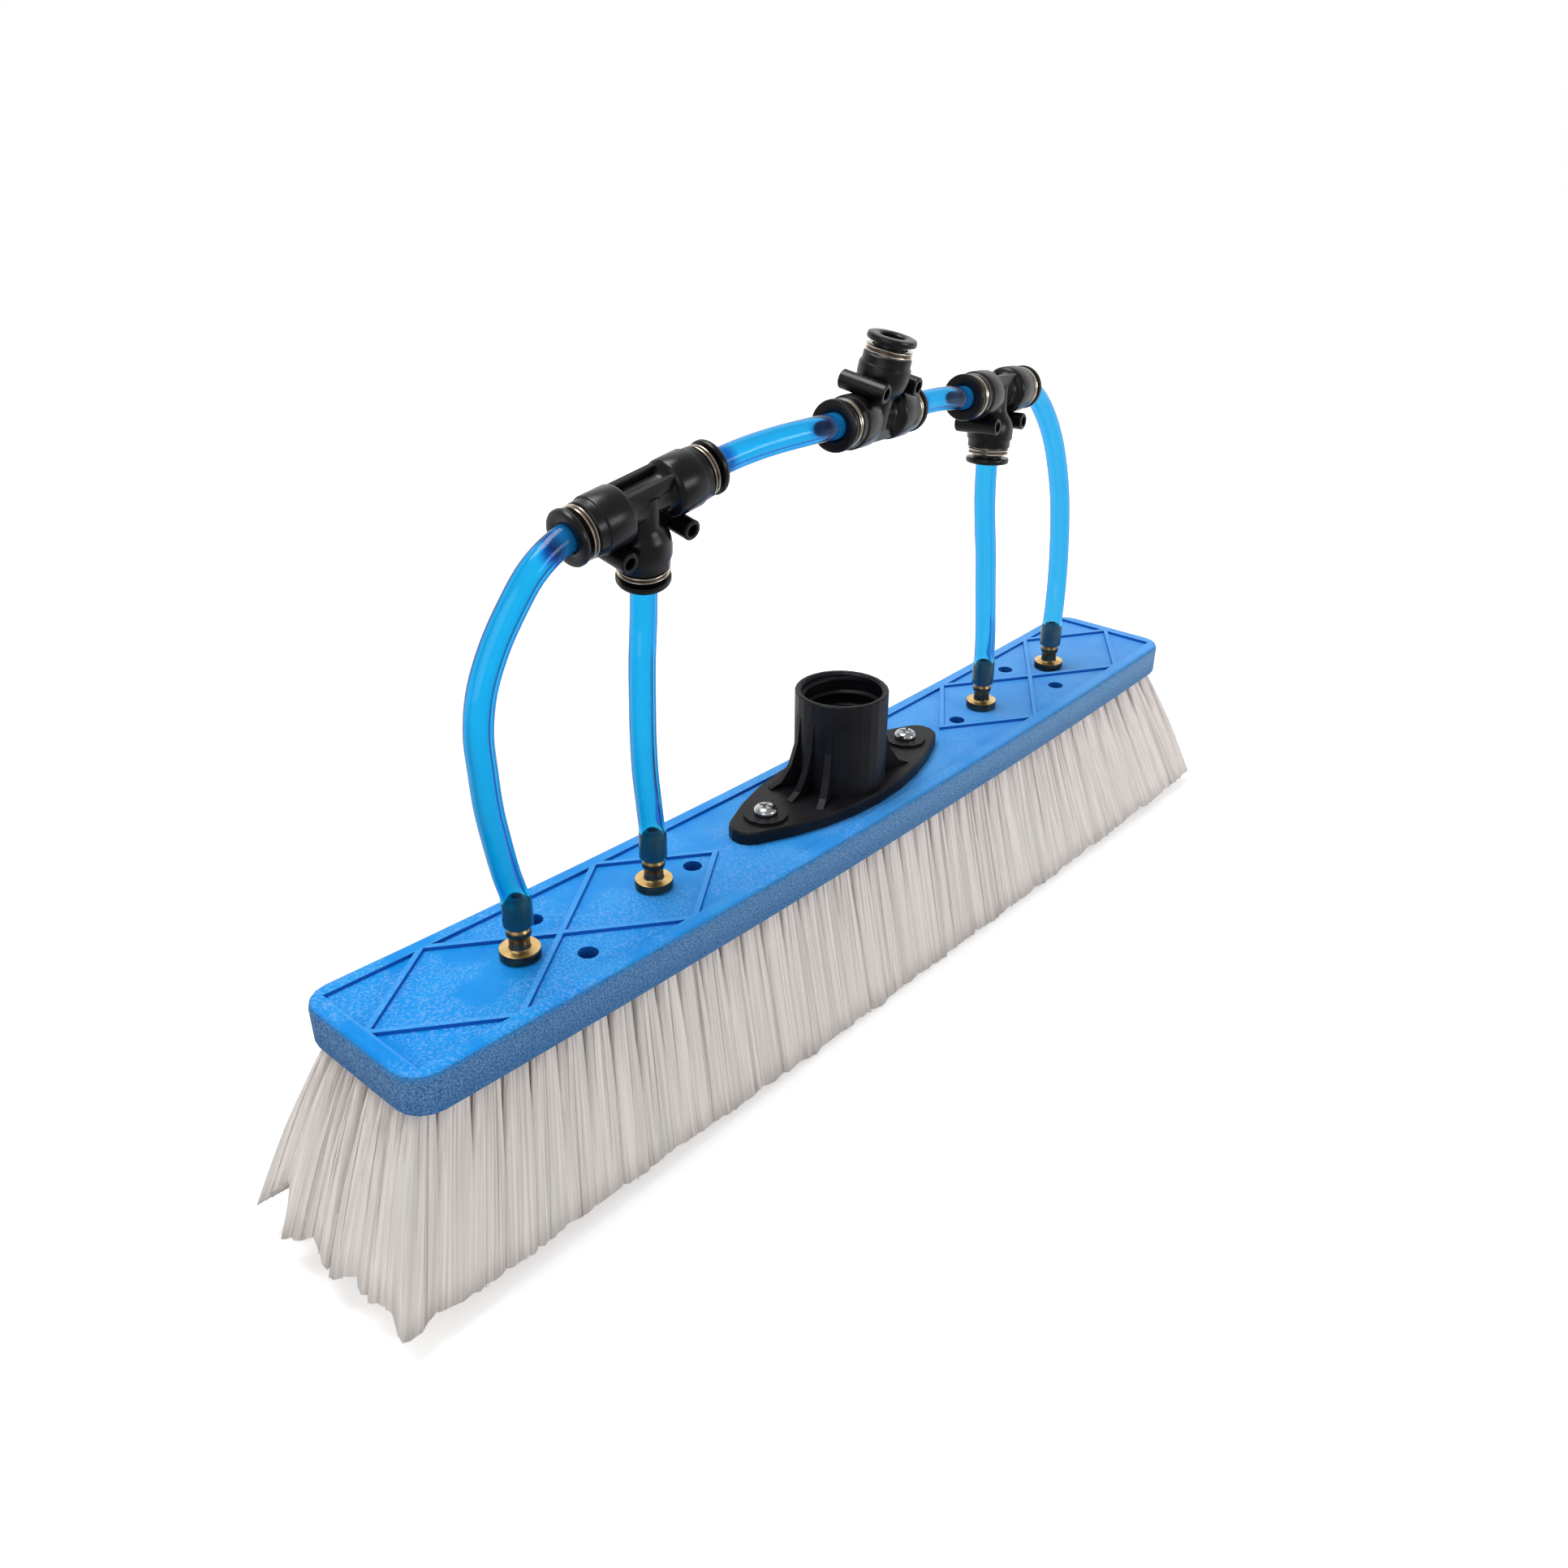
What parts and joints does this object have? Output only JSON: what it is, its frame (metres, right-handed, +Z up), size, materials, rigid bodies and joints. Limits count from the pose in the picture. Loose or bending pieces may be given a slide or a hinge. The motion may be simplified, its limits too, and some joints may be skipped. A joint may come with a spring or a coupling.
{
  "type": "solar panel cleaning brush head",
  "caption": "Water-fed brush head: cambered bristle block with brass jets fed by a hoop of hose and push-fit tees, and a flanged pole socket.",
  "frame": {"origin": "middle of the brush on the plane of the bristle tips", "axes": "+X along the brush, +Y across it, +Z up out of the pole socket"},
  "size_m": [0.442, 0.0712, 0.2312],
  "materials": {
    "blue_plastic": "moulded polypropylene, mottled satin",
    "black_plastic": "moulded, satin",
    "fitting_plastic": "moulded, satin",
    "bristle": "off-white filament",
    "hose_blue": "clear tinted polyurethane tube",
    "brass": "turned",
    "nickel": "nickel plated",
    "grip_steel": "spring steel",
    "screw_steel": "bright stainless",
    "rubber": "moulded O-ring"
  },
  "bodies": {
    "brush_head": {"brush_block": "blue_plastic", "bristle_section_1": "bristle", "bristle_section_2": "bristle", "bristle_section_3": "bristle", "bristle_section_4": "bristle", "bristle_section_5": "bristle", "bristle_section_6": "bristle", "handle_socket": "black_plastic", "left_socket_screw": "screw_steel", "right_socket_screw": "screw_steel", "outer_left_jet": "brass", "inner_left_jet": "brass", "inner_right_jet": "brass", "outer_right_jet": "brass", "outer_left_hose": "hose_blue", "inner_left_hose": "hose_blue", "top_left_hose": "hose_blue", "top_right_hose": "hose_blue", "inner_right_hose": "hose_blue", "outer_right_hose": "hose_blue", "left_tee_body": "fitting_plastic", "right_tee_body": "fitting_plastic", "left_tee_left_port_band": "nickel", "left_tee_left_grip_ring": "grip_steel", "left_tee_left_port_seal": "rubber", "left_tee_right_port_band": "nickel", "left_tee_right_grip_ring": "grip_steel", "left_tee_right_port_seal": "rubber", "left_tee_stem_port_band": "nickel", "left_tee_stem_grip_ring": "grip_steel", "left_tee_stem_port_seal": "rubber", "right_tee_left_port_band": "nickel", "right_tee_left_grip_ring": "grip_steel", "right_tee_left_port_seal": "rubber", "right_tee_right_port_band": "nickel", "right_tee_right_grip_ring": "grip_steel", "right_tee_right_port_seal": "rubber", "right_tee_stem_port_band": "nickel", "right_tee_stem_grip_ring": "grip_steel", "right_tee_stem_port_seal": "rubber"},
    "centre_tee": {"centre_tee_body": "fitting_plastic", "centre_tee_left_port_band": "nickel", "centre_tee_left_grip_ring": "grip_steel", "centre_tee_left_port_seal": "rubber", "centre_tee_right_port_band": "nickel", "centre_tee_right_grip_ring": "grip_steel", "centre_tee_right_port_seal": "rubber", "centre_tee_stem_port_band": "nickel", "centre_tee_stem_grip_ring": "grip_steel", "centre_tee_stem_port_seal": "rubber"},
    "left_left_collar": {"left_tee_left_release_collar": "fitting_plastic"},
    "left_right_collar": {"left_tee_right_release_collar": "fitting_plastic"},
    "left_stem_collar": {"left_tee_stem_release_collar": "fitting_plastic"},
    "centre_left_collar": {"centre_tee_left_release_collar": "fitting_plastic"},
    "centre_right_collar": {"centre_tee_right_release_collar": "fitting_plastic"},
    "centre_stem_collar": {"centre_tee_stem_release_collar": "fitting_plastic"},
    "right_left_collar": {"right_tee_left_release_collar": "fitting_plastic"},
    "right_right_collar": {"right_tee_right_release_collar": "fitting_plastic"},
    "right_stem_collar": {"right_tee_stem_release_collar": "fitting_plastic"}
  },
  "joints": [
    {"name": "centre_tee_swivel", "type": "hinge", "parent": "brush_head", "child": "centre_tee", "pos_m": [0.0059, -0.004, 0.205], "axis": [0.9777, 0.1989, -0.068], "continuous": true},
    {"name": "left_left_collar_press", "type": "slide", "parent": "brush_head", "child": "left_left_collar", "axis": [0.9832, -0.0275, 0.1805], "range_m": [0, 0.001], "stiffness_N_per_m": 150},
    {"name": "left_right_collar_press", "type": "slide", "parent": "brush_head", "child": "left_right_collar", "axis": [-0.9832, 0.0275, -0.1805], "range_m": [0, 0.001], "stiffness_N_per_m": 150},
    {"name": "left_stem_collar_press", "type": "slide", "parent": "brush_head", "child": "left_stem_collar", "axis": [-0.1821, -0.22, 0.9584], "range_m": [0, 0.001], "stiffness_N_per_m": 150},
    {"name": "centre_left_collar_press", "type": "slide", "parent": "centre_tee", "child": "centre_left_collar", "axis": [0.9777, 0.1989, -0.068], "range_m": [0, 0.001], "stiffness_N_per_m": 150},
    {"name": "centre_right_collar_press", "type": "slide", "parent": "centre_tee", "child": "centre_right_collar", "axis": [-0.9777, -0.1989, 0.068], "range_m": [0, 0.001], "stiffness_N_per_m": 150},
    {"name": "centre_stem_collar_press", "type": "slide", "parent": "centre_tee", "child": "centre_stem_collar", "axis": [-0.1063, 0.1888, -0.9762], "range_m": [0, 0.001], "stiffness_N_per_m": 150},
    {"name": "right_left_collar_press", "type": "slide", "parent": "brush_head", "child": "right_left_collar", "axis": [0.9857, 0.1455, -0.0854], "range_m": [0, 0.001], "stiffness_N_per_m": 150},
    {"name": "right_right_collar_press", "type": "slide", "parent": "brush_head", "child": "right_right_collar", "axis": [-0.9857, -0.1455, 0.0854], "range_m": [0, 0.001], "stiffness_N_per_m": 150},
    {"name": "right_stem_collar_press", "type": "slide", "parent": "brush_head", "child": "right_stem_collar", "axis": [0.0819, 0.0297, 0.9962], "range_m": [0, 0.001], "stiffness_N_per_m": 150}
  ]
}
